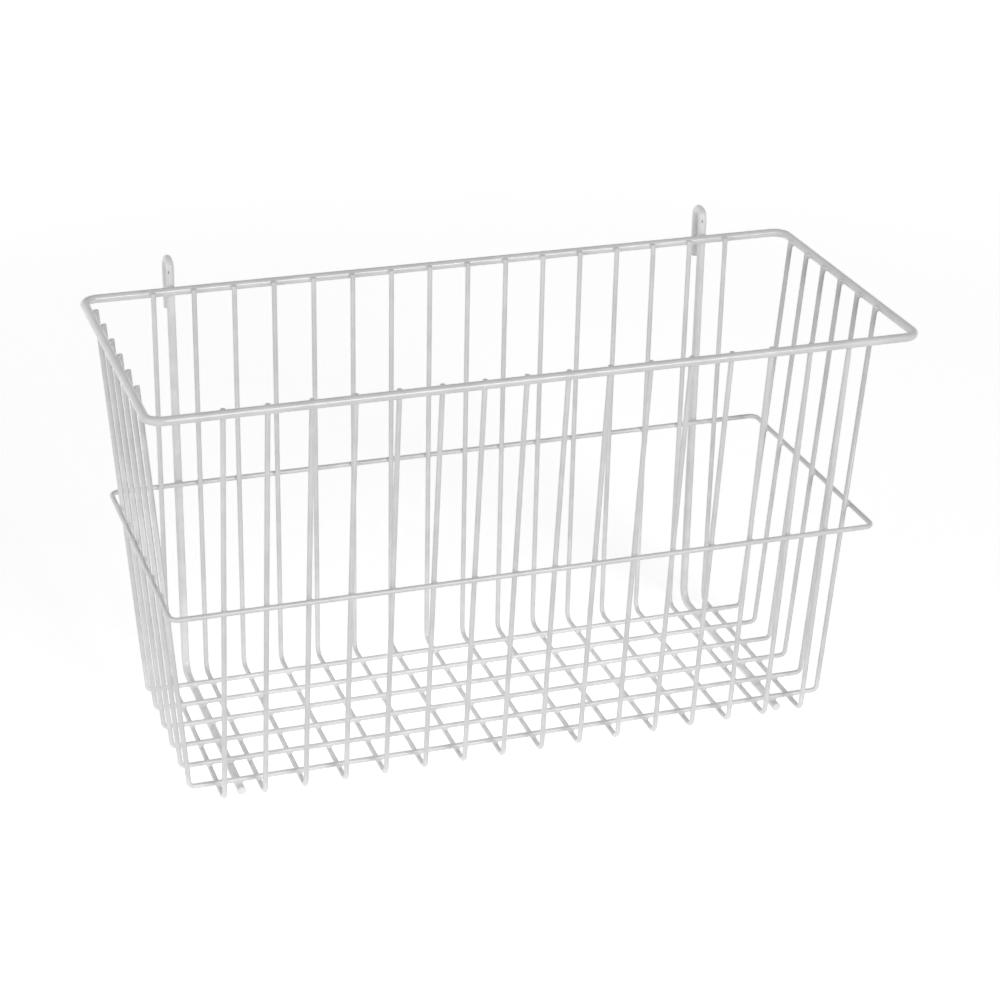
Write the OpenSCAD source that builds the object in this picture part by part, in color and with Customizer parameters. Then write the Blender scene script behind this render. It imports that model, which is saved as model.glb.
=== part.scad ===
// Wire produce basket: straight and bent round wires, welded where they cross, with two hooked hangers.
// Seen from the front: +X is right, +Y is towards the wall that it hangs on, +Z is up.
// The origin is at the middle of the underside of the whole basket, hooks included.

/* [Basket] */
// Outside length of the rim, left to right
basket_l = 441.5; // [400:0.5:500]
// Outside width of the rim, front to back
basket_w = 190.5; // [170:0.5:230]
// Height from the underside of the floor grid to the top of the rim
basket_h = 254; // [200:1:320]
// Length of the floor, between the feet of the two side walls
floor_l = 390; // [350:1:430]
// Width of the floor, between the feet of the front and back walls
floor_w = 153; // [140:1:175]
// Height of the hoop's centreline above the underside of the floor grid
hoop_h = 128.5; // [80:0.5:170]

/* [Wires] */
// Diameter of the rim's wire
rim_d = 5; // [4:0.1:8]
// Diameter of the hoop's wire
hoop_d = 3; // [2:0.1:5]
// Diameter of the wires of the floor and walls
wire_d = 3; // [2:0.1:4]
// How far the ends of the wall wires stand above the rim's centreline
end_rise = 1.2; // [0:0.1:3]
// Chamfer round each cut end
end_chamfer = 0.4; // [0.2:0.1:0.6]
// Clear space between two wires where a weld joins them
weld_gap = 0.1; // [0.05:0.05:0.3]

/* [Grid] */
// Number of wires that run from front to back
cross_count = 16; // [8:2:20]
// Number of wires that run from left to right
long_count = 6; // [3:1:7]
// From the foot of a side wall to the nearest cross wire
cross_margin = 17; // [14:0.5:24]
// From the foot of the back wall to the nearest long wire
long_back_margin = 21; // [18:0.5:30]
// From the foot of the front wall to the nearest long wire
long_front_margin = 14.5; // [13:0.5:24]

/* [Bends] */
// Bend radius of the rim's corners, on the centreline
rim_corner_r = 8.5; // [5:0.5:16]
// Bend radius of the hoop's corners, on the centreline
hoop_corner_r = 8; // [4:0.5:14]
// Bend radius at the feet of the front and back walls, on the centreline
cross_bend_r = 6; // [4:0.5:9]
// Bend radius at the feet of the side walls, on the centreline
long_bend_r = 7; // [4:0.5:12]

/* [Hangers] */
// Diameter of the hangers' wire
hanger_d = 5; // [4:0.1:7]
// Clear gap inside each hook, for the bar that it hangs on
hook_gap = 5; // [4.5:0.5:12]
// Height of the hooks above the top of the rim
hook_h = 16; // [12:0.5:40]
// Length of each prong, from the top of its hook to its cut end
prong_l = 33.5; // [24:0.5:60]
// Straight run across the top of each hook, between its two bends
hook_flat = 1; // [0.6:0.1:4]
// Bend radius where a hanger turns under the floor, on the centreline
hanger_bend_r = 10; // [6:0.5:14]
// How far a hanger's cut end stops short of the foot of the front wall
hanger_setback = 8; // [4:0.5:20]

/* [Hidden] */
$fn = 48;
// A bend draws the wire this much thinner, and runs this far on into the straight wire
bend_thinning = 0.02;
bend_lap = 0.2;
coat = [0.87, 0.88, 0.88];

function cross_name(i) = str("cross_wire_", i < 10 ? "0" : "", i);
function long_name(i) = str("long_wire_", i);

rim_r = rim_d / 2;
hoop_r = hoop_d / 2;
wire_r = wire_d / 2;
hanger_r = hanger_d / 2;

// Distances between the centrelines of two wires that are welded side by side
rim_to_wire = rim_r + wire_r + weld_gap;
hoop_to_wire = hoop_r + wire_r + weld_gap;
rim_to_hanger = rim_r + hanger_r + weld_gap;
hoop_to_hanger = hoop_r + hanger_r + weld_gap;

// Heights of the centrelines: cross wires under the long wires, hangers under the long wires too
floor_bottom = max(hanger_d - wire_d, 0);
cross_z = floor_bottom + wire_r;
long_z = cross_z + wire_d + weld_gap;
hanger_z = long_z - wire_r - weld_gap - hanger_r;
hoop_z = floor_bottom + hoop_h;
rim_z = floor_bottom + basket_h - rim_r;
wire_top_z = rim_z + end_rise;
hook_top_z = rim_z + rim_r + hook_h;

// Depths of the centrelines, with the whole basket centred from the front rim to the back of the prongs
prong_offset = hook_gap + hanger_d;
overall_w = basket_w - rim_r + rim_to_hanger + prong_offset + hanger_r;
rim_front_y = rim_r - overall_w / 2;
rim_back_y = rim_front_y + basket_w - rim_d;
hanger_y = rim_back_y + rim_to_hanger;
prong_y = hanger_y + prong_offset;
hoop_back_y = hanger_y - hoop_to_hanger;
rim_x = basket_l / 2 - rim_r;

// A line in a wall's own plane is [its foot, how far it leans out for each millimetre of height]
function at_height(line, foot_z, z) = line[0] + line[1] * (z - foot_z);
// Slope of a line up to a wire at this run and rise, which passes inside the wire's centre by the gap
function slope_inside(run, rise, gap) = tan(atan2(run, rise) - asin(gap / norm([run, rise])));
// Sideways distance to a wire that touches the outside of a sloping line
function beside(gap, slope) = gap * sqrt(1 + slope * slope);

// The back wall leans so that it touches the inside of the rim and of the hoop, which touch the hangers
back_run = rim_back_y - hoop_back_y;
back_rise = rim_z - hoop_z;
back_slope = slope_inside(back_run, back_rise, rim_to_wire - hoop_to_wire);
back_foot_y = hoop_back_y - beside(hoop_to_wire, back_slope) - back_slope * (hoop_z - cross_z);
back_line = [back_foot_y, back_slope];

// The front wall leans out from its foot to the inside of the rim
front_foot_y = back_foot_y - floor_w;
front_slope = slope_inside(front_foot_y - rim_front_y, rim_z - cross_z, rim_to_wire);
front_line = [front_foot_y, -front_slope];
hoop_front_y = at_height(front_line, cross_z, hoop_z) - beside(hoop_to_wire, front_slope);

// Each side wall leans out from its foot to the inside of the rim
side_foot_x = floor_l / 2;
side_slope = slope_inside(rim_x - side_foot_x, rim_z - long_z, rim_to_wire);
side_line = [side_foot_x, side_slope];
hoop_x = at_height(side_line, long_z, hoop_z) + beside(hoop_to_wire, side_slope);

// Places of the repeated wires
cross_pitch = (floor_l - 2 * cross_margin) / (cross_count - 1);
long_pitch = (floor_w - long_back_margin - long_front_margin) / (long_count - 1);
function cross_x(i) = cross_margin - floor_l / 2 + (i - 1) * cross_pitch;
function long_y(i) = back_foot_y - long_back_margin - (i - 1) * long_pitch;
// A hanger runs midway between the last two cross wires at its end of the basket
hanger_x = cross_x(cross_count) - cross_pitch / 2;

function heading(a, b) = atan2(b.y - a.y, b.x - a.x);
function turn(a, b, c) = let (u = b - a, v = c - b) atan2(u.x * v.y - u.y * v.x, u * v);
function along(a, b, s) = a + s * (b - a) / norm(b - a);
// From a corner to where its bend begins
function bend_trim(a, b, c, r) = r * tan(abs(turn(a, b, c)) / 2);

// Straight wire in the XY plane from a to b, with a chamfer at each end that is cut off
module straight_run(a, b, d, cut_a = false, cut_b = false) {
    r = d / 2;
    length = norm(b - a);
    first_end = cut_a ? [[0, 0], [r - end_chamfer, 0], [r, end_chamfer]] : [[0, 0], [r, 0]];
    last_end = cut_b ? [[r, length - end_chamfer], [r - end_chamfer, length], [0, length]]
        : [[r, length], [0, length]];
    translate(a) rotate([0, 90, heading(a, b)]) rotate_extrude() polygon(concat(first_end, last_end));
}

// Round bend in the XY plane at corner b, thinner than the wire and lapping into the run on each side
module round_bend(a, b, c, r, d) {
    angle = turn(a, b, c);
    lap = bend_lap / r * 180 / PI;
    start = along(b, a, bend_trim(a, b, c, r));
    toward_centre = heading(a, b) + 90 * sign(angle);
    centre = start + r * [cos(toward_centre), sin(toward_centre)];
    first = toward_centre + 180 + min(angle, 0) - lap;
    translate(centre) rotate(first) rotate_extrude(angle = abs(angle) + 2 * lap)
        translate([r, 0]) circle(d = d - bend_thinning);
}

// Wire bent in the XY plane, from cut end to cut end, with one bend radius for each corner between
module open_wire(points, bends, d) {
    last = len(points) - 1;
    trims = [for (i = [0:last]) i == 0 || i == last ? 0
        : bend_trim(points[i - 1], points[i], points[i + 1], bends[i - 1])];
    for (i = [0:last - 1]) {
        run_start = along(points[i], points[i + 1], trims[i]);
        run_end = along(points[i + 1], points[i], trims[i + 1]);
        straight_run(run_start, run_end, d, i == 0, i == last - 1);
    }
    for (i = [1:last - 1]) round_bend(points[i - 1], points[i], points[i + 1], bends[i - 1], d);
}

// Level rectangle of wire with rounded corners and its ends butt welded
module closed_frame(half_l, front_y, back_y, corner_r, d) {
    corners = [[-half_l, front_y], [half_l, front_y], [half_l, back_y], [-half_l, back_y]];
    sides = len(corners);
    for (i = [0:sides - 1]) {
        before = corners[i];
        corner = corners[(i + 1) % sides];
        after = corners[(i + 2) % sides];
        straight_run(along(before, corner, corner_r), along(corner, before, corner_r), d);
        round_bend(before, corner, after, corner_r, d);
    }
}

// Stands a wire drawn in depth and height on edge, at x
module upright_plane(x) {
    translate([x, 0, 0]) rotate([90, 0, 90]) children();
}

module rim_frame() {
    color(coat) translate([0, 0, rim_z])
        closed_frame(rim_x, rim_front_y, rim_back_y, rim_corner_r, rim_d);
}

module mid_hoop() {
    color(coat) translate([0, 0, hoop_z])
        closed_frame(hoop_x, hoop_front_y, hoop_back_y, hoop_corner_r, hoop_d);
}

// Front upright, floor run and back upright in one wire
module cross_wire(i) {
    points = [
        [at_height(front_line, cross_z, wire_top_z), wire_top_z],
        [front_foot_y, cross_z],
        [back_foot_y, cross_z],
        [at_height(back_line, cross_z, wire_top_z), wire_top_z]
    ];
    color(coat) upright_plane(cross_x(i)) open_wire(points, [cross_bend_r, cross_bend_r], wire_d);
}

// Left upright, floor run and right upright in one wire, lying on the cross wires
module long_wire(i) {
    top_x = at_height(side_line, long_z, wire_top_z);
    points = [[-top_x, wire_top_z], [-side_foot_x, long_z], [side_foot_x, long_z], [top_x, wire_top_z]];
    color(coat) translate([0, long_y(i), 0]) rotate([90, 0, 0])
        open_wire(points, [long_bend_r, long_bend_r], wire_d);
}

// Run under the floor, leg up the back, and a hook bent back and down over the rear
module hanger(x) {
    hook_r = (prong_offset - hook_flat) / 2;
    hook_z = hook_top_z - hanger_r;
    points = [
        [front_foot_y + hanger_setback, hanger_z],
        [hanger_y, hanger_z],
        [hanger_y, hook_z],
        [prong_y, hook_z],
        [prong_y, hook_top_z - prong_l]
    ];
    color(coat) upright_plane(x) open_wire(points, [hanger_bend_r, hook_r, hook_r], hanger_d);
}

module hanger_left() {
    hanger(-hanger_x);
}

module hanger_right() {
    hanger(hanger_x);
}

rim_frame();
mid_hoop();
for (i = [1:cross_count]) cross_wire(i);
for (i = [1:long_count]) long_wire(i);
hanger_left();
hanger_right();
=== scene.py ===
import math

import bmesh
import bpy
from bpy.props import FloatProperty, FloatVectorProperty, PointerProperty
from bpy.types import Operator, Panel, PropertyGroup
from mathutils import Matrix, Quaternion, Vector


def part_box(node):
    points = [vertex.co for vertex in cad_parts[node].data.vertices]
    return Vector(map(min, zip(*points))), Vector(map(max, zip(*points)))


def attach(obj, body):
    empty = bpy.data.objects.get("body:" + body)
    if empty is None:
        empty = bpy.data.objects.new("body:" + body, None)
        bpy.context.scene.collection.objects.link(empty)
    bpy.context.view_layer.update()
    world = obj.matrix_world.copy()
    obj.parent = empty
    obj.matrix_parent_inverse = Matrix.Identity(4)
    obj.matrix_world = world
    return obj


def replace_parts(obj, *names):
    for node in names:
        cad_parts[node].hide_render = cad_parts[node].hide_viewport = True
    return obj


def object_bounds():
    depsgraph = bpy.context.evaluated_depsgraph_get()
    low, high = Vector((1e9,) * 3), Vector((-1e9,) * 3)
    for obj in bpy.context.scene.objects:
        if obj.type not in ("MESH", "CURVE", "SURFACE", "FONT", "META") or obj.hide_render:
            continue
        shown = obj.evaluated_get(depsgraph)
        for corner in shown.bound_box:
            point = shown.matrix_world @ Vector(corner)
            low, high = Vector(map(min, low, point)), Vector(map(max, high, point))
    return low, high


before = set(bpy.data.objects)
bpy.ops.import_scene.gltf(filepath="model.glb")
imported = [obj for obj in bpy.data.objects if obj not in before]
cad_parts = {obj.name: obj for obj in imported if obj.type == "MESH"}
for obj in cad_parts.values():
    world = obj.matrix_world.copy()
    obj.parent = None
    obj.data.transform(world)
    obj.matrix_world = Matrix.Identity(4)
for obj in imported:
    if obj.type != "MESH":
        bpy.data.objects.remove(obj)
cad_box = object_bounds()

bl_info = {
    "name": "Wire Produce Basket",
    "version": (1, 0, 0),
    "blender": (4, 5, 0),
    "location": "View3D > Sidebar > Basket",
    "description": "Bends and coats a basket's wires, webs its welds, caps its wire ends and lights it",
    "category": "Object",
}

BODY = "root"

RIM = "rim_frame"
HOOP = "mid_hoop"
CROSS_WIRES = sorted(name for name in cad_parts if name.startswith("cross_wire_"))
LONG_WIRES = sorted(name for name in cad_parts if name.startswith("long_wire_"))
HANGERS = ["hanger_left", "hanger_right"]
WIRE_COAT = "white_coat"
HANGER_COAT = "hanger_coat"

X, Y, Z = Vector((1, 0, 0)), Vector((0, 1, 0)), Vector((0, 0, 1))
MM = 0.001
# Corners nearer to each other than this are joined
SEAM = 0.001 * MM
# The floor lies this far below the part
FLOOR_DROP = 0.5 * MM
FLOOR_Z = cad_box[0].z - FLOOR_DROP

# Sides of the round shapes, and steps of their bends, hollows and edges
WIRE_SIDES = 24
BEND_STEPS = 12
WEB_SIDES = 16
WEB_STEPS = 3
CAP_SIDES = 20
CAP_STEPS = 2

# A noise stays mostly between these two values
NOISE_LOW, NOISE_HIGH = 0.35, 0.65
# The dark spot under each hook is full up to the first of these shares of its size, and gone at the second
SPOT_FULL, SPOT_GONE = 0.9, 1.5
# Places of the colour sockets on a Mix node
MIX_FIRST, MIX_SECOND, MIX_RESULT = 6, 7, 2
SENSOR_WIDTH = 36


# Places, read from the frame

def middle(node):
    """Centre of a node's box."""
    low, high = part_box(node)
    return (low + high) / 2


def half_span(node):
    """Half of a node's box, along each axis."""
    low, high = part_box(node)
    return (high - low) / 2


def reach(node, direction, keep=None):
    """Furthest that a node's surface goes along a direction, among the points that keep allows."""
    points = (v.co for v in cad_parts[node].data.vertices)
    return max(p.dot(direction) for p in points if keep is None or keep(p))


def aim(turn, tilt):
    """Direction turned from straight ahead and tilted above the horizon."""
    level = Vector((math.sin(turn), -math.cos(turn), 0))
    return level * math.cos(tilt) + Z * math.sin(tilt)


class Wires:
    """Radii and heights of the basket's wires, in metres."""

    wire_r = half_span(CROSS_WIRES[0]).x
    rim_r = half_span(RIM).z
    hoop_r = half_span(HOOP).z
    hanger_r = half_span(HANGERS[0]).x
    cross_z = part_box(CROSS_WIRES[0])[0].z + wire_r
    long_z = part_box(LONG_WIRES[0])[0].z + wire_r
    hanger_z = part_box(HANGERS[0])[0].z + hanger_r
    gap = long_z - cross_z - 2 * wire_r
    rim_z = middle(RIM).z
    hoop_z = middle(HOOP).z
    hook_top_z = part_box(HANGERS[0])[1].z
    prong_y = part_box(HANGERS[0])[1].y - hanger_r
    leg_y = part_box(RIM)[1].y + gap + hanger_r


class Wall:
    """One wall of uprights: where it touches the rim and the hoop, and which way its wires lean."""

    def __init__(self, outward):
        self.outward = outward
        self.level = Z.cross(outward)
        rim_out = middle(RIM).dot(outward) + abs(half_span(RIM).dot(outward)) - Wires.rim_r
        hoop_out = middle(HOOP).dot(outward) + abs(half_span(HOOP).dot(outward)) - Wires.hoop_r
        out, rise = rim_out - hoop_out, Wires.rim_z - Wires.hoop_z
        lean = math.atan2(rise, out) - math.acos((Wires.rim_r - Wires.hoop_r) / math.hypot(out, rise))
        self.normal = outward * math.cos(lean) + Z * math.sin(lean)
        self.up = Z * math.cos(lean) - outward * math.sin(lean)
        rim_axis = outward * rim_out + Z * Wires.rim_z
        hoop_axis = outward * hoop_out + Z * Wires.hoop_z
        self.rim_spot = rim_axis - self.normal * (Wires.rim_r + Wires.gap / 2)
        self.hoop_spot = hoop_axis - self.normal * (Wires.hoop_r + Wires.gap / 2)

    def end_of(self, wire):
        """How far a wire's cut end stands above the rim's weld, along the wire."""
        inside = self.rim_spot.dot(self.outward) / 2
        return reach(wire, self.up, lambda p: p.dot(self.outward) > inside) - self.rim_spot.dot(self.up)

    def beside_rim(self, along):
        """Point on a wire's axis beside its weld to the rim, for its place along the wall."""
        return self.rim_spot + along - self.normal * (Wires.wire_r + Wires.gap / 2)

    def foot(self, along):
        """Where the axis of an upright reaches the level of the long wires' floor runs."""
        spot = self.beside_rim(along)
        return spot - self.up * (spot.z - Wires.long_z) / self.up.z

    def wires(self):
        """Each wire of the wall, with its place along the wall."""
        names = LONG_WIRES if self.outward.x else CROSS_WIRES
        return [(name, self.level * middle(name).dot(self.level)) for name in names]


RIGHT_WALL, LEFT_WALL = Wall(X), Wall(-X)
WALLS = [Wall(Y), Wall(-Y), RIGHT_WALL, LEFT_WALL]


# Settings

class BasketCoat(PropertyGroup):
    """Finish of the coat on the wires."""

    colour: FloatVectorProperty(
        name="Coat", description="Colour of the coat", subtype="COLOR", size=3,
        default=(0.78, 0.78, 0.78), min=0, max=1)
    hanger_colour: FloatVectorProperty(
        name="Hanger Coat", description="Colour of the coat on the hangers", subtype="COLOR", size=3,
        default=(0.88, 0.88, 0.88), min=0, max=1)
    thin_share: FloatProperty(
        name="Thin Coat", description="How light the coat is where it is thin, beside where it is thick",
        subtype="FACTOR", default=0.91, min=0, max=1)
    # A small dark spot on the front of each hanger's leg, just under its hook: its colour, its drop from
    # the hook's top, its turn round the wire and its size
    dark_spot_colour: FloatVectorProperty(
        name="Dark Spot", description="Colour of the dark spots under the hooks", subtype="COLOR", size=3,
        default=(0.26, 0.26, 0.26), min=0, max=1)
    dark_spot_drop: FloatProperty(
        name="Mark Drop", description="From the top of a hook down to its dark spot", unit="LENGTH",
        default=7.8 * MM, min=0)
    dark_spot_turn: FloatProperty(
        name="Mark Turn", description="Turn of a dark spot round the hanger's wire", subtype="ANGLE",
        default=math.radians(-26))
    dark_spot_size: FloatVectorProperty(
        name="Mark Size", description="Half the width, depth and height of a dark spot",
        subtype="XYZ", size=3, unit="LENGTH", default=(0.45 * MM, 0.9 * MM, 1.5 * MM))
    roughness: FloatProperty(
        name="Roughness", description="Roughness of the coat at its glossiest", subtype="FACTOR",
        default=0.30, min=0, max=1)
    roughness_spread: FloatProperty(
        name="Roughness Spread", description="How much rougher the coat is at its dullest",
        subtype="FACTOR", default=0.14, min=0, max=1)
    cloud_size: FloatProperty(
        name="Cloud Size", description="Size of the soft changes of tone in the coat", unit="LENGTH",
        default=18 * MM, min=MM)
    dull_size: FloatProperty(
        name="Dull Size", description="Size of the duller patches in the coat", unit="LENGTH",
        default=3.6 * MM, min=MM)
    peel_size: FloatProperty(
        name="Peel Size", description="Size of the ripples in the coat", unit="LENGTH",
        default=1.1 * MM, min=0.1 * MM)
    peel_depth: FloatProperty(
        name="Peel Depth", description="Depth of the ripples in the coat", unit="LENGTH",
        default=0.03 * MM, min=0)
    shine: FloatProperty(
        name="Shine", description="Specular level of the coat itself", subtype="FACTOR",
        default=0.2, min=0, max=1)
    gloss: FloatProperty(
        name="Gloss", description="Strength of the clear gloss on the coat", subtype="FACTOR",
        default=0.9, min=0, max=1)
    gloss_roughness: FloatProperty(
        name="Gloss Roughness", description="Roughness of the clear gloss", subtype="FACTOR",
        default=0.15, min=0, max=1)


class BasketBends(PropertyGroup):
    """Bends of the thin wires, on their centrelines."""

    foot_bend_r: FloatProperty(
        name="Foot Bend", description="Bend radius at the feet of the side walls", unit="LENGTH",
        default=3.5 * MM, min=2 * MM)
    hoop_bend_r: FloatProperty(
        name="Hoop Bend", description="Bend radius of the hoop's corners", unit="LENGTH",
        default=5.0 * MM, min=2 * MM)


class BasketWelds(PropertyGroup):
    """Sizes of the coat that gathers at the welds and wire ends."""

    web_r: FloatProperty(
        name="Web Radius", description="Hollow radius of the coat between two crossing wires",
        unit="LENGTH", default=1.5 * MM, min=0.2 * MM)
    sink: FloatProperty(
        name="Sink", description="Depth of a web's edge in the wires, as a share of their radius",
        subtype="FACTOR", default=0.1, min=0, max=0.5)
    ramp: FloatProperty(
        name="Ramp", description="How far the coat runs on above a wire's end, up the rim", unit="LENGTH",
        default=1.0 * MM, min=0)
    cap_rise: FloatProperty(
        name="Cap Rise", description="Height of the coat over a cut end", unit="LENGTH",
        default=0.15 * MM, min=0)
    cap_lap: FloatProperty(
        name="Cap Lap", description="How far the coat on a cut end runs back along the wire",
        unit="LENGTH", default=0.45 * MM, min=0)
    cap_skin: FloatProperty(
        name="Cap Skin", description="How far the coat on a cut end stands off the wire", unit="LENGTH",
        default=0.05 * MM, min=0)
    cap_round: FloatProperty(
        name="Cap Round", description="Radius of the edge of the coat on a cut end", unit="LENGTH",
        default=0.35 * MM, min=0)


class BasketStage(PropertyGroup):
    """Floor, light and camera."""

    floor_size: FloatProperty(
        name="Floor", description="Length of the floor's sides", unit="LENGTH", default=12.0, min=1)
    floor_colour: FloatVectorProperty(
        name="Floor Colour", description="Colour of the floor", subtype="COLOR", size=3,
        default=(0.86, 0.86, 0.86), min=0, max=1)
    floor_glow: FloatProperty(
        name="Floor Glow", description="Brightness that the camera sees added to the floor",
        default=0.65, min=0)
    floor_near: FloatProperty(
        name="Near Floor", description="How far from the basket the floor keeps its own glow",
        unit="LENGTH", default=0.7, min=0)
    floor_far: FloatProperty(
        name="Far Floor", description="How far from the basket the floor turns white", unit="LENGTH",
        default=2.5, min=0.1)
    horizon: FloatProperty(
        name="Horizon", description="Strength of the light from the studio's walls", default=0.33, min=0)
    zenith: FloatProperty(
        name="Zenith", description="Strength of the light from overhead", default=0.16, min=0)
    under: FloatProperty(
        name="Under", description="Strength of the light from below the horizon", default=0.48, min=0)
    floor_light_power: FloatProperty(
        name="Floor Light", description="Power of the light that comes up through the floor",
        unit="POWER", default=0.12, min=0)
    inside_light_power: FloatProperty(
        name="Inside Light", description="Power of the light that shines down on the basket's floor",
        unit="POWER", default=0.042, min=0)
    inside_light_height: FloatProperty(
        name="Inside Light Height", description="From the basket's floor up to the light inside",
        unit="LENGTH", default=60 * MM, min=MM)
    band_full: FloatProperty(
        name="Walls Full", description="Elevation up to which the walls are fully lit", subtype="ANGLE",
        default=math.radians(5))
    band_end: FloatProperty(
        name="Walls End", description="Elevation above which only the overhead light is left",
        subtype="ANGLE", default=math.radians(40))
    light_distance: FloatProperty(
        name="Light Distance", description="From the far lights to the basket", unit="LENGTH",
        default=5.0, min=0.5)
    key_azimuth: FloatProperty(
        name="Front Light Azimuth", description="Turn of the front light from straight ahead",
        subtype="ANGLE", default=math.radians(15))
    key_elevation: FloatProperty(
        name="Front Light Elevation", description="Height of the front light above the horizon",
        subtype="ANGLE", default=math.radians(20))
    key_size: FloatProperty(
        name="Front Light Size", description="Side of the front light", unit="LENGTH",
        default=2.0, min=0.05)
    key_power: FloatProperty(
        name="Front Light", description="Power of the front light", unit="POWER",
        default=106.0, min=0)
    side_azimuth: FloatProperty(
        name="Side Light Azimuth", description="Turn of the side light from straight ahead",
        subtype="ANGLE", default=math.radians(-75))
    side_elevation: FloatProperty(
        name="Side Light Elevation", description="Height of the side light above the horizon",
        subtype="ANGLE", default=math.radians(8))
    side_size: FloatProperty(
        name="Side Light Size", description="Side of the side light", unit="LENGTH",
        default=4.0, min=0.05)
    side_power: FloatProperty(
        name="Side Light", description="Power of the side light", unit="POWER",
        default=95.0, min=0)
    fill_azimuth: FloatProperty(
        name="Back Light Azimuth", description="Turn of the back light from straight ahead",
        subtype="ANGLE", default=math.radians(-150))
    fill_elevation: FloatProperty(
        name="Back Light Elevation", description="Height of the back light above the horizon",
        subtype="ANGLE", default=math.radians(15))
    fill_size: FloatProperty(
        name="Back Light Size", description="Side of the back light", unit="LENGTH",
        default=6.0, min=0.05)
    fill_power: FloatProperty(
        name="Back Light", description="Power of the light behind the basket", unit="POWER",
        default=45.0, min=0)
    camera_target: FloatVectorProperty(
        name="Camera Target", description="Point that the camera looks at", subtype="TRANSLATION", size=3,
        default=(0.00121, -0.01613, 0.14369))
    camera_distance: FloatProperty(
        name="Camera Distance", description="From the camera to its target", unit="LENGTH",
        default=1.5, min=0.1)
    camera_azimuth: FloatProperty(
        name="Camera Azimuth", description="Turn of the camera from straight ahead", subtype="ANGLE",
        default=math.radians(-18.904))
    camera_elevation: FloatProperty(
        name="Camera Elevation", description="Height of the camera above the horizon", subtype="ANGLE",
        default=math.radians(24.902))
    camera_roll: FloatProperty(
        name="Camera Roll", description="Turn of the camera about its own line of sight",
        subtype="ANGLE", default=math.radians(0.978))
    camera_lens: FloatProperty(
        name="Camera Lens", description="Focal length on a 36 mm sensor",
        subtype="DISTANCE_CAMERA", default=93.05, min=10)


# Finishes

def add_node(tree, kind, inputs=None, **settings):
    """New node with its settings, and the values of its inputs by name or number."""
    made = tree.nodes.new(kind)
    for key, value in settings.items():
        setattr(made, key, value)
    for key, value in (inputs or {}).items():
        made.inputs[key].default_value = value
    return made


def new_tree(material):
    """Empties a material's or the world's nodes and gives back the tree and its output."""
    material.use_nodes = True
    tree = material.node_tree
    tree.nodes.clear()
    kind = "World" if isinstance(material, bpy.types.World) else "Material"
    return tree, tree.nodes.new("ShaderNodeOutput" + kind)


def noise(tree, where, size, detail=2):
    """Noise on object coordinates, with features of about the given size."""
    made = add_node(tree, "ShaderNodeTexNoise", {"Scale": 1 / size, "Detail": detail})
    tree.links.new(where, made.inputs["Vector"])
    return made.outputs["Fac"]


def spread(tree, value, low, high):
    """Maps the middle of a noise to a range."""
    made = add_node(tree, "ShaderNodeMapRange", {
        "From Min": NOISE_LOW, "From Max": NOISE_HIGH,
        "To Min": low, "To Max": high}, interpolation_type="SMOOTHSTEP")
    tree.links.new(value, made.inputs["Value"])
    return made.outputs["Result"]


def mix_colour(tree, share, first, second):
    """Mixes two colours, each a colour or an output."""
    made = add_node(tree, "ShaderNodeMix", data_type="RGBA")
    tree.links.new(share, made.inputs["Factor"])
    for place, colour in ((MIX_FIRST, first), (MIX_SECOND, second)):
        if isinstance(colour, bpy.types.NodeSocket):
            tree.links.new(colour, made.inputs[place])
        else:
            made.inputs[place].default_value = (*colour, 1)
    return made.outputs[MIX_RESULT]


def near_share(tree, where, spot, size):
    """1 at a spot and 0 beyond its size along each axis, with an uneven edge."""
    offset = add_node(tree, "ShaderNodeVectorMath", {1: spot}, operation="SUBTRACT")
    scaled = add_node(tree, "ShaderNodeVectorMath", {1: size}, operation="DIVIDE")
    away = add_node(tree, "ShaderNodeVectorMath", operation="LENGTH")
    uneven = add_node(tree, "ShaderNodeMath", operation="ADD")
    share = add_node(tree, "ShaderNodeMapRange", {
        "From Min": SPOT_FULL, "From Max": SPOT_GONE, "To Min": 1.0, "To Max": 0.0})
    tree.links.new(where, offset.inputs[0])
    tree.links.new(offset.outputs["Vector"], scaled.inputs[0])
    tree.links.new(scaled.outputs["Vector"], away.inputs[0])
    tree.links.new(away.outputs["Value"], uneven.inputs[0])
    tree.links.new(noise(tree, where, size[0]), uneven.inputs[1])
    tree.links.new(uneven.outputs[0], share.inputs["Value"])
    return share.outputs["Result"]


def coat_finish(name, coat, colour, marks=()):
    """White coat with soft changes of tone, ripples, a gloss that varies, and a dark spot at some places.
    """
    material = bpy.data.materials.new(name)
    material.diffuse_color = (*colour, 1)
    tree, output = new_tree(material)
    where = add_node(tree, "ShaderNodeTexCoord").outputs["Object"]
    clouds = spread(tree, noise(tree, where, coat.cloud_size, detail=3), 0, 1)
    dull = spread(tree, noise(tree, where, coat.dull_size),
                  coat.roughness, coat.roughness + coat.roughness_spread)
    bump = add_node(tree, "ShaderNodeBump", {"Distance": coat.peel_depth, "Strength": 1.0})
    tree.links.new(noise(tree, where, coat.peel_size), bump.inputs["Height"])
    shader = add_node(tree, "ShaderNodeBsdfPrincipled",
                      {"Specular IOR Level": coat.shine, "Coat Weight": coat.gloss,
                       "Coat Roughness": coat.gloss_roughness})
    tone = mix_colour(tree, clouds, colour, [part * coat.thin_share for part in colour])
    for spot in marks:
        tone = mix_colour(tree, near_share(tree, where, spot, coat.dark_spot_size), tone, coat.dark_spot_colour)
    tree.links.new(tone, shader.inputs["Base Color"])
    tree.links.new(dull, shader.inputs["Roughness"])
    tree.links.new(bump.outputs["Normal"], shader.inputs["Normal"])
    tree.links.new(shader.outputs["BSDF"], output.inputs["Surface"])
    return material


# Pieces

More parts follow.
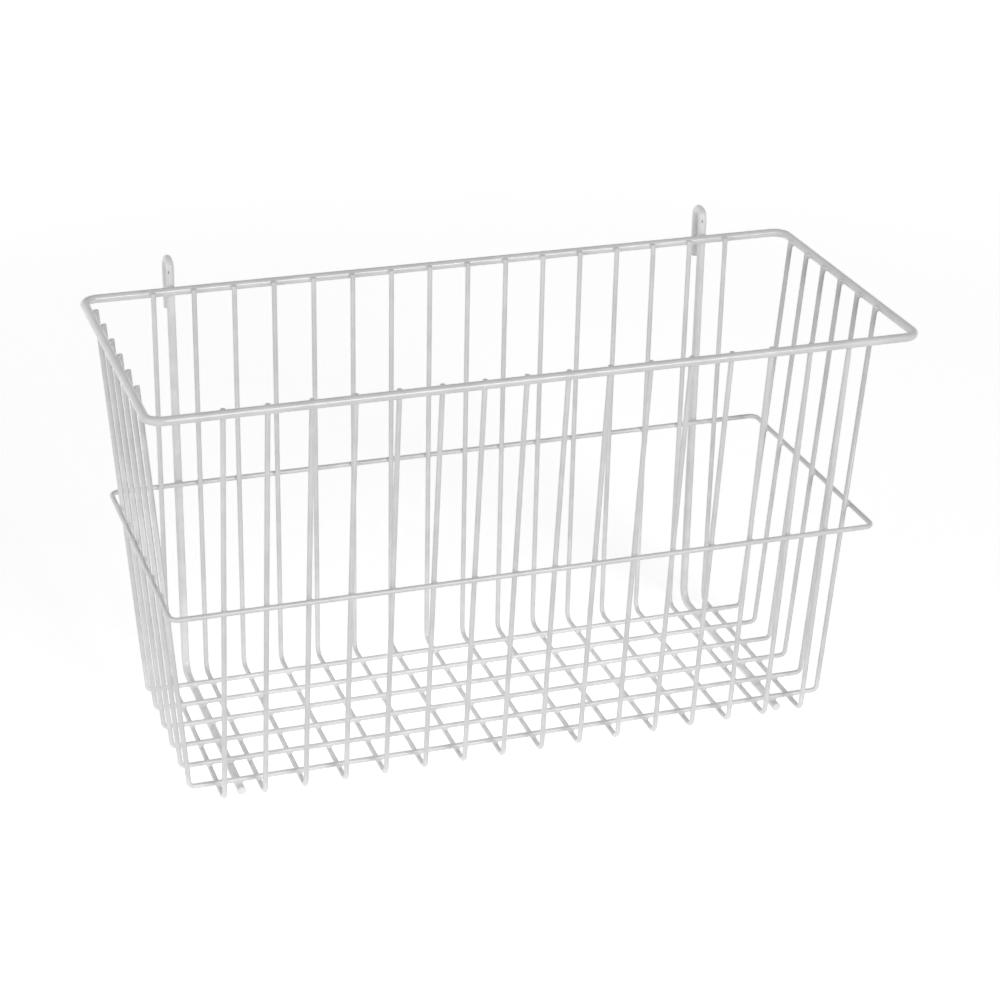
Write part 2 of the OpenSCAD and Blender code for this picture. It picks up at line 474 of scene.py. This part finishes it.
def weld_web(wire_r, bar_r, gap, web_r, sink, end=None, ramp=0):
    """Web of coat between a wire along Y and a bar along X that lies over it, with the weld at the origin.

    Its edge runs round the weld where a ball of web_r would touch both. Where the wire ends soon after
    the weld, at end along Y, the web stops there and runs on up the bar for the ramp.
    """
    def ball_touch(radius):
        # Seen along a round, with the other as a level line: how far out the ball touches the round,
        # how far out the tangents there meet, and how far out it touches the line
        depth = radius + gap - web_r
        across = math.sqrt((radius + web_r) ** 2 - depth ** 2)
        share = radius / (radius + web_r)
        corner = across * share - depth * (radius + gap - depth * share) / across
        return across * share, corner, across

    wire_x, corner_x, bar_x = ball_touch(wire_r)
    bar_y, corner_y, wire_y = ball_touch(bar_r)
    below = (wire_y, corner_y, bar_y)
    above = below if end is None else (end, end, end + ramp)
    inner = 1 - sink

    def lay(point):
        angle, step = math.atan2(point.y, point.x), point.z + 0.5
        y_wire, y_corner, y_bar = above if point.y > 0 else below
        turn_x, turn_y = math.cos(angle), math.sin(angle)
        on_wire = Vector((wire_x * turn_x * inner, y_wire * turn_y, 0))
        on_bar = Vector((bar_x * turn_x, y_bar * turn_y * inner, 0))
        on_wire.z = math.sqrt((wire_r * inner) ** 2 - on_wire.x ** 2) - wire_r - gap / 2
        on_bar.z = bar_r + gap / 2 - math.sqrt((bar_r * inner) ** 2 - on_bar.y ** 2)
        corner = Vector((corner_x * turn_x, y_corner * turn_y, gap / 2 * math.cos(2 * angle)))
        return on_wire * (1 - step) ** 2 + corner * 2 * step * (1 - step) + on_bar * step ** 2

    bm = bmesh.new()
    bmesh.ops.create_cone(bm, cap_ends=True, segments=WEB_SIDES, radius1=1, radius2=1, depth=1)
    tall = [e for e in bm.edges if abs(e.verts[0].co.z - e.verts[1].co.z) > 0.5]
    bmesh.ops.subdivide_edges(bm, edges=tall, cuts=WEB_STEPS - 1)
    for vert in bm.verts:
        vert.co = lay(vert.co)
    for face in bm.faces:
        face.smooth = len(face.verts) == 4
    return bm


def end_cap(wire_r, welds):
    """Coat over a cut end that faces up, with the end at the origin."""
    bm = bmesh.new()
    girth, height = wire_r + welds.cap_skin, welds.cap_rise + welds.cap_lap
    bmesh.ops.create_cone(bm, cap_ends=True, segments=CAP_SIDES, radius1=girth, radius2=girth,
                          depth=height, matrix=Matrix.Translation((0, 0, welds.cap_rise - height / 2)))
    edge = [e for e in bm.edges if all(v.co.z > 0 for v in e.verts)]
    bmesh.ops.bevel(bm, geom=edge, offset=welds.cap_round, offset_type="OFFSET", segments=CAP_STEPS,
                    profile=0.5, affect="EDGES", material=-1)
    for face in bm.faces:
        face.smooth = len(face.verts) == 4
    return bm


def draw_on(bm, ring, move):
    """Draws a ring of corners on by a move, with faces between, and gives back the new ring."""
    drawn = [bm.verts.new(move @ corner.co) for corner in ring]
    for k in range(len(ring)):
        bm.faces.new((ring[k - 1], ring[k], drawn[k], drawn[k - 1]))
    return drawn


def bent_wire(points, wire_r, bend_r):
    """Round wire from the first point to the last, bent at each point between them."""
    start, *corners, end = points
    run, spot = (corners[0] - start).normalized(), start
    bm = bmesh.new()
    facing = Matrix.Translation(start) @ run.to_track_quat("Z", "Y").to_matrix().to_4x4()
    bmesh.ops.create_circle(bm, segments=WIRE_SIDES, radius=wire_r, matrix=facing)
    ring = bm.verts[:]
    for corner, after in zip(corners, [*corners[1:], end]):
        onward = (after - corner).normalized()
        axis, turn = run.cross(onward).normalized(), run.angle(onward)
        trim = bend_r * math.tan(turn / 2)
        bend = corner - run * trim
        ring = draw_on(bm, ring, Matrix.Translation(bend - spot))
        to_centre = Matrix.Translation(bend + axis.cross(run) * bend_r)
        step = to_centre @ Matrix.Rotation(turn / BEND_STEPS, 4, axis) @ to_centre.inverted()
        for _ in range(BEND_STEPS):
            ring = draw_on(bm, ring, step)
        run, spot = onward, corner + onward * trim
    draw_on(bm, ring, Matrix.Translation(end - spot))
    bmesh.ops.remove_doubles(bm, verts=bm.verts[:], dist=SEAM)
    bmesh.ops.holes_fill(bm, edges=bm.edges[:], sides=0)
    bmesh.ops.recalc_face_normals(bm, faces=bm.faces[:])
    for face in bm.faces:
        face.smooth = len(face.verts) == 4
    return bm


def upright_matrix(spot, across, up, normal):
    """Places a shape with its X, Y and Z along the three directions."""
    turned = Matrix((across, up, normal)).transposed().to_4x4()
    return Matrix.Translation(spot) @ turned


def gather(name, shapes, coat=WIRE_COAT):
    """One coated piece made of shapes, each a bmesh and the places that it is set in."""
    whole = bmesh.new()
    for shape, places in shapes:
        pattern = bpy.data.meshes.new("pattern")
        shape.to_mesh(pattern)
        shape.free()
        for place in places:
            before = len(whole.verts)
            whole.from_mesh(pattern)
            whole.verts.ensure_lookup_table()
            bmesh.ops.transform(whole, matrix=place, verts=whole.verts[before:])
        bpy.data.meshes.remove(pattern)
    if not whole.faces:
        raise RuntimeError(f"{name} has no faces")
    mesh = bpy.data.meshes.new(name)
    whole.to_mesh(mesh)
    whole.free()
    mesh.materials.append(bpy.data.materials[coat])
    piece = bpy.data.objects.new(name, mesh)
    bpy.context.scene.collection.objects.link(piece)
    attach(piece, BODY)
    return piece


class BASKET_OT_coat_wires(Operator):
    """Gives every wire of the frame its coat"""

    bl_idname = "basket.coat_wires"
    bl_label = "Coat the Wires"

    def execute(self, context):
        coat = context.scene.basket_coat
        # A small dark spot on the front of each hanger's leg, just under its hook
        axis = Vector((0, Wires.leg_y, Wires.hook_top_z - coat.dark_spot_drop))
        front = axis + aim(coat.dark_spot_turn, 0) * Wires.hanger_r
        marks = [front + X * middle(hanger).x for hanger in HANGERS]
        coat_finish(WIRE_COAT, coat, coat.colour)
        coat_finish(HANGER_COAT, coat, coat.hanger_colour, marks)
        for name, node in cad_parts.items():
            node.data.materials.clear()
            node.data.materials.append(bpy.data.materials[HANGER_COAT if name in HANGERS else WIRE_COAT])
        return {"FINISHED"}


class BASKET_OT_long_wires(Operator):
    """Draws each long wire with tight bends at its feet, in place of its node"""

    bl_idname = "basket.long_wires"
    bl_label = "Long Wires"

    def execute(self, context):
        # Each end stops short of the node's, inside the coat that caps it
        inset = context.scene.basket_welds.cap_lap / 2
        for wire in LONG_WIRES:
            along = Y * middle(wire).y
            left, right = (wall.beside_rim(along) + wall.up * (wall.end_of(wire) - inset)
                           for wall in (LEFT_WALL, RIGHT_WALL))
            points = [left, LEFT_WALL.foot(along), RIGHT_WALL.foot(along), right]
            bent = bent_wire(points, Wires.wire_r, context.scene.basket_bends.foot_bend_r)
            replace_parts(gather(wire + "_bent", [(bent, [Matrix()])]), wire)
        return {"FINISHED"}


class BASKET_OT_mid_hoop(Operator):
    """Draws the hoop with tight corners, in place of its node"""

    bl_idname = "basket.mid_hoop"
    bl_label = "Hoop"

    def execute(self, context):
        centre, half = middle(HOOP), half_span(HOOP)
        x, y = X * (half.x - Wires.hoop_r), Y * (half.y - Wires.hoop_r)
        seam = centre + y
        points = [seam, seam + x, centre - y + x, centre - y - x, seam - x, seam]
        bent = bent_wire(points, Wires.hoop_r, context.scene.basket_bends.hoop_bend_r)
        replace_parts(gather(HOOP + "_bent", [(bent, [Matrix()])]), HOOP)
        return {"FINISHED"}


class BASKET_OT_rim_welds(Operator):
    """Fills the corners between the uprights' ends and the rim"""

    bl_idname = "basket.rim_welds"
    bl_label = "Rim Welds"

    def execute(self, context):
        welds = context.scene.basket_welds
        shapes = []
        for wall in WALLS:
            wires = wall.wires()
            web = weld_web(Wires.wire_r, Wires.rim_r, Wires.gap, welds.web_r, welds.sink,
                           wall.end_of(wires[0][0]), welds.ramp)
            across = wall.up.cross(wall.normal)
            shapes.append((web, [upright_matrix(wall.rim_spot + along, across, wall.up, wall.normal)
                                 for _, along in wires]))
        gather("rim_welds", shapes)
        return {"FINISHED"}


class BASKET_OT_hoop_welds(Operator):
    """Fills the corners between the uprights and the hoop"""

    bl_idname = "basket.hoop_welds"
    bl_label = "Hoop Welds"

    def execute(self, context):
        welds = context.scene.basket_welds
        web = weld_web(Wires.wire_r, Wires.hoop_r, Wires.gap, welds.web_r, welds.sink)
        places = [upright_matrix(wall.hoop_spot + along, wall.up.cross(wall.normal), wall.up, wall.normal)
                  for wall in WALLS for _, along in wall.wires()]
        gather("hoop_welds", [(web, places)])
        return {"FINISHED"}


class BASKET_OT_floor_welds(Operator):
    """Fills the corners between the long wires and the cross wires under them"""

    bl_idname = "basket.floor_welds"
    bl_label = "Floor Welds"

    def execute(self, context):
        welds = context.scene.basket_welds
        web = weld_web(Wires.wire_r, Wires.wire_r, Wires.gap, welds.web_r, welds.sink)
        height = Wires.cross_z + Wires.wire_r + Wires.gap / 2
        places = [Matrix.Translation((middle(cross).x, middle(long).y, height))
                  for cross in CROSS_WIRES for long in LONG_WIRES]
        gather("floor_welds", [(web, places)])
        return {"FINISHED"}


class BASKET_OT_hanger_welds(Operator):
    """Fills the corners between the hangers and the wires that they carry"""

    bl_idname = "basket.hanger_welds"
    bl_label = "Hanger Welds"

    def execute(self, context):
        welds = context.scene.basket_welds
        sides = [middle(hanger).x for hanger in HANGERS]
        height = Wires.hanger_z + Wires.hanger_r + Wires.gap / 2
        front = Wires.leg_y - Wires.hanger_r - Wires.gap / 2
        shapes = [(weld_web(Wires.hanger_r, Wires.wire_r, Wires.gap, welds.web_r, welds.sink),
                   [Matrix.Translation((x, middle(long).y, height))
                    for x in sides for long in LONG_WIRES])]
        for bar_r, bar_z in ((Wires.rim_r, Wires.rim_z), (Wires.hoop_r, Wires.hoop_z)):
            shapes.append((weld_web(Wires.hanger_r, bar_r, Wires.gap, welds.web_r, welds.sink),
                           [upright_matrix(Vector((x, front, bar_z)), X, Z, -Y) for x in sides]))
        gather("hanger_welds", shapes)
        return {"FINISHED"}


class BASKET_OT_wire_ends(Operator):
    """Rounds the coat over each cut end of the uprights"""

    bl_idname = "basket.wire_ends"
    bl_label = "Wire Ends"

    def execute(self, context):
        places = []
        for wall in WALLS:
            for wire, along in wall.wires():
                spot = wall.beside_rim(along) + wall.up * wall.end_of(wire)
                places.append(upright_matrix(spot, wall.normal, wall.up.cross(wall.normal), wall.up))
        gather("wire_ends", [(end_cap(Wires.wire_r, context.scene.basket_welds), places)])
        return {"FINISHED"}


class BASKET_OT_hanger_ends(Operator):
    """Rounds the coat over the cut ends of the hangers"""

    bl_idname = "basket.hanger_ends"
    bl_label = "Hanger Ends"

    def execute(self, context):
        places = []
        hook_y = (Wires.leg_y + Wires.prong_y) / 2
        for hanger in HANGERS:
            x = middle(hanger).x
            front = Vector((x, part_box(hanger)[0].y, Wires.hanger_z))
            low = -reach(hanger, -Z, lambda p: p.y > hook_y)
            places.append(upright_matrix(front, X, Z, -Y))
            places.append(upright_matrix(Vector((x, Wires.prong_y, low)), X, -Y, -Z))
        gather("hanger_ends", [(end_cap(Wires.hanger_r, context.scene.basket_welds), places)], HANGER_COAT)
        return {"FINISHED"}


# Stage

def lamp(name, spot, turn, width, depth, power):
    """Soft light with straight sides, which faces down before its turn."""
    data = bpy.data.lights.new(name, "AREA")
    data.shape = "RECTANGLE"
    data.size = width
    data.size_y = depth
    data.energy = power
    made = bpy.data.objects.new(name, data)
    made.location = spot
    made.rotation_mode = "QUATERNION"
    made.rotation_quaternion = turn
    bpy.context.scene.collection.objects.link(made)


def seen_share(tree):
    """1 for what the camera sees, straight or in gloss or glass, and 0 for light on the object."""
    path = add_node(tree, "ShaderNodeLightPath")
    first = add_node(tree, "ShaderNodeMath", operation="ADD")
    second = add_node(tree, "ShaderNodeMath", operation="ADD", use_clamp=True)
    tree.links.new(path.outputs["Is Camera Ray"], first.inputs[0])
    tree.links.new(path.outputs["Is Glossy Ray"], first.inputs[1])
    tree.links.new(first.outputs[0], second.inputs[0])
    tree.links.new(path.outputs["Is Transmission Ray"], second.inputs[1])
    return second.outputs[0]


class BASKET_OT_stage(Operator):
    """Sets the floor, the light and the camera"""

    bl_idname = "basket.stage"
    bl_label = "Stage"

    def execute(self, context):
        stage = context.scene.basket_stage
        self.floor(stage)
        self.sky(context.scene, stage)
        self.far_lights(stage)
        self.near_lights(stage)
        self.camera(context.scene, stage)
        context.scene.view_settings.view_transform = "Standard"
        return {"FINISHED"}

    def far_lights(self, stage):
        """Three soft lights round the basket"""
        centre = Vector(stage.camera_target)
        for name, turn, tilt, size, power in (
                ("front_light", stage.key_azimuth, stage.key_elevation,
                 stage.key_size, stage.key_power),
                ("side_light", stage.side_azimuth, stage.side_elevation,
                 stage.side_size, stage.side_power),
                ("back_light", stage.fill_azimuth, stage.fill_elevation,
                 stage.fill_size, stage.fill_power)):
            away = aim(turn, tilt)
            facing = (-away).to_track_quat("-Z", "Y")
            lamp(name, centre + away * stage.light_distance, facing, size, size, power)

    def near_lights(self, stage):
        """Weak lights under and over the basket's floor"""
        whole = cad_box[1] - cad_box[0]
        lamp("floor_light", Z * (FLOOR_Z - FLOOR_DROP), Quaternion(X, math.pi), whole.x, whole.y,
             stage.floor_light_power)
        corner = Vector((middle(CROSS_WIRES[0]).x, middle(LONG_WIRES[0]).y, Wires.long_z))
        far_corner = Vector((middle(CROSS_WIRES[-1]).x, middle(LONG_WIRES[-1]).y, Wires.long_z))
        span = far_corner - corner
        lamp("inside_light", (corner + far_corner) / 2 + Z * stage.inside_light_height, Quaternion(),
             abs(span.x), abs(span.y), stage.inside_light_power)

    def floor(self, stage):
        """Pale floor, which looks white far from the basket"""
        bm = bmesh.new()
        bmesh.ops.create_grid(bm, x_segments=1, y_segments=1, size=stage.floor_size / 2)
        bmesh.ops.translate(bm, vec=(0, 0, FLOOR_Z), verts=bm.verts[:])
        mesh = bpy.data.meshes.new("floor")
        bm.to_mesh(mesh)
        bm.free()
        material = bpy.data.materials.new("pale_floor")
        tree, output = new_tree(material)
        paint = add_node(tree, "ShaderNodeBsdfDiffuse", {"Color": (*stage.floor_colour, 1)})
        glow = add_node(tree, "ShaderNodeEmission", {"Color": (1, 1, 1, 1)})
        where = add_node(tree, "ShaderNodeTexCoord")
        away = add_node(tree, "ShaderNodeVectorMath", operation="LENGTH")
        level = add_node(tree, "ShaderNodeMapRange", {
            "From Min": stage.floor_near, "From Max": stage.floor_far,
            "To Min": stage.floor_glow, "To Max": 1.0}, interpolation_type="SMOOTHSTEP")
        share = add_node(tree, "ShaderNodeMath", operation="MULTIPLY")
        both = add_node(tree, "ShaderNodeAddShader")
        tree.links.new(where.outputs["Object"], away.inputs[0])
        tree.links.new(away.outputs["Value"], level.inputs["Value"])
        tree.links.new(level.outputs["Result"], share.inputs[1])
        tree.links.new(seen_share(tree), share.inputs[0])
        tree.links.new(share.outputs[0], glow.inputs["Strength"])
        tree.links.new(paint.outputs[0], both.inputs[0])
        tree.links.new(glow.outputs[0], both.inputs[1])
        tree.links.new(both.outputs[0], output.inputs["Surface"])
        mesh.materials.append(material)
        made = bpy.data.objects.new("floor", mesh)
        made.visible_diffuse = False
        made.visible_shadow = False
        bpy.context.scene.collection.objects.link(made)

    def sky(self, scene, stage):
        """Studio that lights from its walls, dimmer overhead, and looks white"""
        scene.world = bpy.data.worlds.new("studio")
        tree, output = new_tree(scene.world)
        where = add_node(tree, "ShaderNodeTexCoord").outputs["Generated"]
        split = add_node(tree, "ShaderNodeSeparateXYZ")
        height = add_node(tree, "ShaderNodeMapRange", {
            "From Min": math.sin(stage.band_full), "From Max": math.sin(stage.band_end),
            "To Min": stage.horizon, "To Max": stage.zenith}, interpolation_type="SMOOTHSTEP")
        above = add_node(tree, "ShaderNodeMath", {1: 0.0}, operation="GREATER_THAN")
        level = add_node(tree, "ShaderNodeMix", {"A": stage.under})
        light = add_node(tree, "ShaderNodeBackground", {"Color": (1, 1, 1, 1)})
        white = add_node(tree, "ShaderNodeBackground", {"Color": (1, 1, 1, 1), "Strength": 1.0})
        both = add_node(tree, "ShaderNodeMixShader")
        tree.links.new(where, split.inputs[0])
        tree.links.new(split.outputs["Z"], height.inputs["Value"])
        tree.links.new(split.outputs["Z"], above.inputs[0])
        tree.links.new(above.outputs[0], level.inputs["Factor"])
        tree.links.new(height.outputs["Result"], level.inputs["B"])
        tree.links.new(level.outputs["Result"], light.inputs["Strength"])
        tree.links.new(seen_share(tree), both.inputs[0])
        tree.links.new(light.outputs[0], both.inputs[1])
        tree.links.new(white.outputs[0], both.inputs[2])
        tree.links.new(both.outputs[0], output.inputs["Surface"])

    def camera(self, scene, stage):
        """Camera at the photograph's angle"""
        data = bpy.data.cameras.new("camera")
        data.sensor_width = SENSOR_WIDTH
        data.lens = stage.camera_lens
        made = bpy.data.objects.new("camera", data)
        back = aim(stage.camera_azimuth, stage.camera_elevation)
        made.location = Vector(stage.camera_target) + back * stage.camera_distance
        made.rotation_mode = "QUATERNION"
        made.rotation_quaternion = (-back).to_track_quat("-Z", "Y") @ Quaternion(Z, stage.camera_roll)
        scene.collection.objects.link(made)
        scene.camera = made


SETTINGS = (("basket_coat", BasketCoat), ("basket_bends", BasketBends), ("basket_welds", BasketWelds),
            ("basket_stage", BasketStage))
STEPS = (BASKET_OT_coat_wires, BASKET_OT_long_wires, BASKET_OT_mid_hoop, BASKET_OT_rim_welds,
         BASKET_OT_hoop_welds, BASKET_OT_floor_welds, BASKET_OT_hanger_welds, BASKET_OT_wire_ends,
         BASKET_OT_hanger_ends, BASKET_OT_stage)


class BASKET_PT_sidebar(Panel):
    """Lists the basket's steps and settings"""

    bl_idname = "BASKET_PT_sidebar"
    bl_label = "Wire Basket"
    bl_space_type = "VIEW_3D"
    bl_region_type = "UI"
    bl_category = "Basket"

    def draw(self, context):
        for step in STEPS:
            self.layout.operator(step.bl_idname)
        for name, kind in SETTINGS:
            box = self.layout.box()
            for key in kind.__annotations__:
                box.prop(getattr(context.scene, name), key)


def register():
    for name, kind in SETTINGS:
        bpy.utils.register_class(kind)
        setattr(bpy.types.Scene, name, PointerProperty(type=kind))
    for kind in (*STEPS, BASKET_PT_sidebar):
        bpy.utils.register_class(kind)


def unregister():
    for kind in (BASKET_PT_sidebar, *reversed(STEPS)):
        bpy.utils.unregister_class(kind)
    for name, kind in reversed(SETTINGS):
        delattr(bpy.types.Scene, name)
        bpy.utils.unregister_class(kind)


def main():
    register()
    bpy.ops.basket.coat_wires()
    bpy.ops.basket.long_wires()
    bpy.ops.basket.mid_hoop()
    bpy.ops.basket.rim_welds()
    bpy.ops.basket.hoop_welds()
    bpy.ops.basket.floor_welds()
    bpy.ops.basket.hanger_welds()
    bpy.ops.basket.wire_ends()
    bpy.ops.basket.hanger_ends()
    bpy.ops.basket.stage()


if __name__ == "__main__":
    main()
